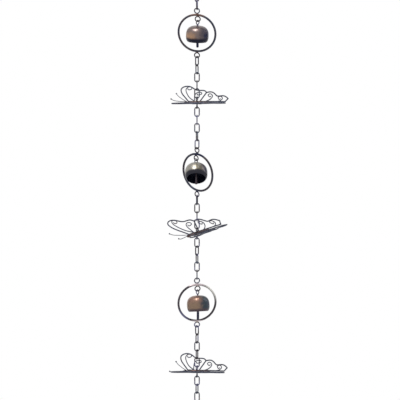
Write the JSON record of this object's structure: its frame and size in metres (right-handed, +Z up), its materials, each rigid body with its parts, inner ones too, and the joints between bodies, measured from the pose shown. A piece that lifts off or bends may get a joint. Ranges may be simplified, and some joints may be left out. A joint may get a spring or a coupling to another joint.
{
  "type": "rain chain",
  "caption": "Rain chain of oval links with wire hoops that each hold a bell and clapper, and wire butterflies with scrolled wings.",
  "frame": {"origin": "where the hanging ring's inside top bears on its hook", "axes": "+Z up along the chain, +X to the viewer's right, -Y towards the viewer"},
  "size_m": [0.1468, 0.1493, 1.0563],
  "materials": {
    "wire": "dark oxide, half gloss",
    "hoop_wire": "dark oxide with heat tints, half gloss",
    "wing_wire": "dark oxide with copper tints, half gloss",
    "bell_shell": "flamed and mottled, half gloss",
    "butterfly_body": "flamed copper brown, half gloss",
    "clapper": "dark oxide, half gloss"
  },
  "bodies": {
    "hanging_ring": {"hanging_ring": "wire"},
    "link_01": {"link_01": "wire"},
    "link_02": {"link_02": "wire"},
    "hoop_1": {"hoop_1": "hoop_wire", "hoop_1_loops": "hoop_wire"},
    "bell_1": {"bell_1": "bell_shell", "bell_1_eye": "wire"},
    "clapper_1": {"clapper_1": "clapper"},
    "link_03": {"link_03": "wire"},
    "link_04": {"link_04": "wire"},
    "link_05": {"link_05": "wire"},
    "link_06": {"link_06": "wire"},
    "link_07": {"link_07": "wire"},
    "butterfly_1": {"butterfly_1_body": "butterfly_body", "butterfly_1_left_wing": "wing_wire", "butterfly_1_right_wing": "wing_wire", "butterfly_1_antennae": "wing_wire", "butterfly_1_eyes": "wire"},
    "link_08": {"link_08": "wire"},
    "link_09": {"link_09": "wire"},
    "link_10": {"link_10": "wire"},
    "link_11": {"link_11": "wire"},
    "link_12": {"link_12": "wire"},
    "hoop_2": {"hoop_2": "hoop_wire", "hoop_2_loops": "hoop_wire"},
    "bell_2": {"bell_2": "bell_shell", "bell_2_eye": "wire"},
    "clapper_2": {"clapper_2": "clapper"},
    "link_13": {"link_13": "wire"},
    "link_14": {"link_14": "wire"},
    "link_15": {"link_15": "wire"},
    "link_16": {"link_16": "wire"},
    "butterfly_2": {"butterfly_2_body": "butterfly_body", "butterfly_2_left_wing": "wing_wire", "butterfly_2_right_wing": "wing_wire", "butterfly_2_antennae": "wing_wire", "butterfly_2_eyes": "wire"},
    "link_17": {"link_17": "wire"},
    "link_18": {"link_18": "wire"},
    "link_19": {"link_19": "wire"},
    "link_20": {"link_20": "wire"},
    "link_21": {"link_21": "wire"},
    "hoop_3": {"hoop_3": "hoop_wire", "hoop_3_loops": "hoop_wire"},
    "bell_3": {"bell_3": "bell_shell", "bell_3_eye": "wire"},
    "clapper_3": {"clapper_3": "clapper"},
    "link_22": {"link_22": "wire"},
    "link_23": {"link_23": "wire"},
    "link_24": {"link_24": "wire"},
    "link_25": {"link_25": "wire"},
    "link_26": {"link_26": "wire"},
    "butterfly_3": {"butterfly_3_body": "butterfly_body", "butterfly_3_left_wing": "wing_wire", "butterfly_3_right_wing": "wing_wire", "butterfly_3_antennae": "wing_wire", "butterfly_3_eyes": "wire"},
    "link_27": {"link_27": "wire"},
    "link_28": {"link_28": "wire"},
    "link_29": {"link_29": "wire"}
  },
  "joints": [
    {"name": "link_01_swing", "type": "hinge", "parent": "hanging_ring", "child": "link_01", "pos_m": [0, 0, -0.028], "axis": [0, 1, 0], "range_deg": [-40, 40]},
    {"name": "link_02_swing", "type": "hinge", "parent": "link_01", "child": "link_02", "pos_m": [0, 0, -0.0476], "axis": [0.766, 0.6428, 0], "range_deg": [-40, 40]},
    {"name": "hoop_1_swing", "type": "hinge", "parent": "link_02", "child": "hoop_1", "pos_m": [0, 0, -0.0678], "axis": [0.1736, -0.9848, 0], "range_deg": [-30, 30]},
    {"name": "bell_1_swing", "type": "hinge", "parent": "hoop_1", "child": "bell_1", "pos_m": [0.00179, -0.00041, -0.09725], "axis": [0.9744, -0.225, 0], "range_deg": [-37, 53]},
    {"name": "clapper_1_swing", "type": "hinge", "parent": "bell_1", "child": "clapper_1", "pos_m": [0.00117, -0.00309, -0.11676], "axis": [0.9744, -0.225, 0], "range_deg": [-40, 24]},
    {"name": "link_03_swing", "type": "hinge", "parent": "hoop_1", "child": "link_03", "pos_m": [0, 0, -0.1877], "axis": [-0.9744, 0.225, 0], "range_deg": [-40, 40]},
    {"name": "link_04_swing", "type": "hinge", "parent": "link_03", "child": "link_04", "pos_m": [0, 0, -0.2079], "axis": [0.6157, 0.788, 0], "range_deg": [-40, 40]},
    {"name": "link_05_swing", "type": "hinge", "parent": "link_04", "child": "link_05", "pos_m": [0, 0, -0.2281], "axis": [0.4695, -0.8829, 0], "range_deg": [-40, 40]},
    {"name": "link_06_swing", "type": "hinge", "parent": "link_05", "child": "link_06", "pos_m": [0, 0, -0.2483], "axis": [1, 0, 0], "range_deg": [-40, 40]},
    {"name": "link_07_swing", "type": "hinge", "parent": "link_06", "child": "link_07", "pos_m": [0, 0, -0.2685], "axis": [0, 1, 0], "range_deg": [-40, 40]},
    {"name": "butterfly_1_swing", "type": "hinge", "parent": "link_07", "child": "butterfly_1", "pos_m": [0, 0, -0.2887], "axis": [-1, 0, 0], "range_deg": [-20, 20]},
    {"name": "link_08_swing", "type": "hinge", "parent": "butterfly_1", "child": "link_08", "pos_m": [0, 0, -0.3147], "axis": [-0.1736, -0.9848, 0], "range_deg": [-40, 40]},
    {"name": "link_09_swing", "type": "hinge", "parent": "link_08", "child": "link_09", "pos_m": [0, 0, -0.335], "axis": [1, 0, 0], "range_deg": [-40, 40]},
    {"name": "link_10_swing", "type": "hinge", "parent": "link_09", "child": "link_10", "pos_m": [0, 0, -0.3552], "axis": [0, 1, 0], "range_deg": [-40, 40]},
    {"name": "link_11_swing", "type": "hinge", "parent": "link_10", "child": "link_11", "pos_m": [0, 0, -0.3754], "axis": [-1, 0, 0], "range_deg": [-40, 40]},
    {"name": "link_12_swing", "type": "hinge", "parent": "link_11", "child": "link_12", "pos_m": [0, 0, -0.3956], "axis": [0.2924, -0.9563, 0], "range_deg": [-40, 40]},
    {"name": "hoop_2_swing", "type": "hinge", "parent": "link_12", "child": "hoop_2", "pos_m": [0, 0, -0.4158], "axis": [0.8387, 0.5446, 0], "range_deg": [-30, 30]},
    {"name": "bell_2_swing", "type": "hinge", "parent": "hoop_2", "child": "bell_2", "pos_m": [-0.00198, 0.00167, -0.44556], "axis": [1, 0, 0], "range_deg": [0, 62]},
    {"name": "clapper_2_swing", "type": "hinge", "parent": "bell_2", "child": "clapper_2", "pos_m": [-0.00198, -0.01654, -0.45978], "axis": [1, 0, 0], "range_deg": [-64, 0]},
    {"name": "link_13_swing", "type": "hinge", "parent": "hoop_2", "child": "link_13", "pos_m": [0, 0, -0.53555], "axis": [-0.766, 0.6428, 0], "range_deg": [-40, 40]},
    {"name": "link_14_swing", "type": "hinge", "parent": "link_13", "child": "link_14", "pos_m": [0, 0, -0.55575], "axis": [0.2079, 0.9781, 0], "range_deg": [-40, 40]},
    {"name": "link_15_swing", "type": "hinge", "parent": "link_14", "child": "link_15", "pos_m": [0, 0, -0.57595], "axis": [0.9986, 0.0523, 0], "range_deg": [-40, 40]},
    {"name": "link_16_swing", "type": "hinge", "parent": "link_15", "child": "link_16", "pos_m": [0, 0, -0.59615], "axis": [0, -1, 0], "range_deg": [-40, 40]},
    {"name": "butterfly_2_swing", "type": "hinge", "parent": "link_16", "child": "butterfly_2", "pos_m": [0, 0, -0.61635], "axis": [-1, 0, 0], "range_deg": [-20, 20]},
    {"name": "link_17_swing", "type": "hinge", "parent": "butterfly_2", "child": "link_17", "pos_m": [0, 0, -0.64235], "axis": [0.1736, 0.9848, 0], "range_deg": [-40, 40]},
    {"name": "link_18_swing", "type": "hinge", "parent": "link_17", "child": "link_18", "pos_m": [0, 0, -0.66265], "axis": [0.9781, -0.2079, 0], "range_deg": [-40, 40]},
    {"name": "link_19_swing", "type": "hinge", "parent": "link_18", "child": "link_19", "pos_m": [0, 0, -0.68285], "axis": [-0.6157, -0.788, 0], "range_deg": [-40, 40]},
    {"name": "link_20_swing", "type": "hinge", "parent": "link_19", "child": "link_20", "pos_m": [0, 0, -0.70305], "axis": [-0.3746, 0.9272, 0], "range_deg": [-40, 40]},
    {"name": "link_21_swing", "type": "hinge", "parent": "link_20", "child": "link_21", "pos_m": [0, 0, -0.72325], "axis": [-0.9976, 0.0698, 0], "range_deg": [-40, 40]},
    {"name": "hoop_3_swing", "type": "hinge", "parent": "link_21", "child": "hoop_3", "pos_m": [0, 0, -0.74345], "axis": [0, -1, 0], "range_deg": [-30, 30]},
    {"name": "bell_3_swing", "type": "hinge", "parent": "hoop_3", "child": "bell_3", "pos_m": [0.00121, 0.00021, -0.77287], "axis": [0.9848, 0.1736, 0], "range_deg": [-28, 62]},
    {"name": "clapper_3_swing", "type": "hinge", "parent": "bell_3", "child": "clapper_3", "pos_m": [0.00221, -0.00546, -0.79171], "axis": [0.9848, 0.1736, 0], "range_deg": [-49, 15]},
    {"name": "link_22_swing", "type": "hinge", "parent": "hoop_3", "child": "link_22", "pos_m": [0, 0, -0.86335], "axis": [0.9848, 0.1736, 0], "range_deg": [-40, 40]},
    {"name": "link_23_swing", "type": "hinge", "parent": "link_22", "child": "link_23", "pos_m": [0, 0, -0.88355], "axis": [-0.6157, 0.788, 0], "range_deg": [-40, 40]},
    {"name": "link_24_swing", "type": "hinge", "parent": "link_23", "child": "link_24", "pos_m": [0, 0, -0.90375], "axis": [-0.4384, -0.8988, 0], "range_deg": [-40, 40]},
    {"name": "link_25_swing", "type": "hinge", "parent": "link_24", "child": "link_25", "pos_m": [0, 0, -0.92395], "axis": [-0.9976, -0.0698, 0], "range_deg": [-40, 40]},
    {"name": "link_26_swing", "type": "hinge", "parent": "link_25", "child": "link_26", "pos_m": [0, 0, -0.94415], "axis": [0.342, 0.9397, 0], "range_deg": [-40, 40]},
    {"name": "butterfly_3_swing", "type": "hinge", "parent": "link_26", "child": "butterfly_3", "pos_m": [0, 0, -0.96435], "axis": [0.9962, -0.0872, 0], "range_deg": [-20, 20]},
    {"name": "link_27_swing", "type": "hinge", "parent": "butterfly_3", "child": "link_27", "pos_m": [0, 0, -0.99035], "axis": [-0.1736, -0.9848, 0], "range_deg": [-40, 40]},
    {"name": "link_28_swing", "type": "hinge", "parent": "link_27", "child": "link_28", "pos_m": [0, 0, -1.01065], "axis": [-1, 0, 0], "range_deg": [-40, 40]},
    {"name": "link_29_swing", "type": "hinge", "parent": "link_28", "child": "link_29", "pos_m": [0, 0, -1.03085], "axis": [0.4226, 0.9063, 0], "range_deg": [-40, 40]}
  ]
}
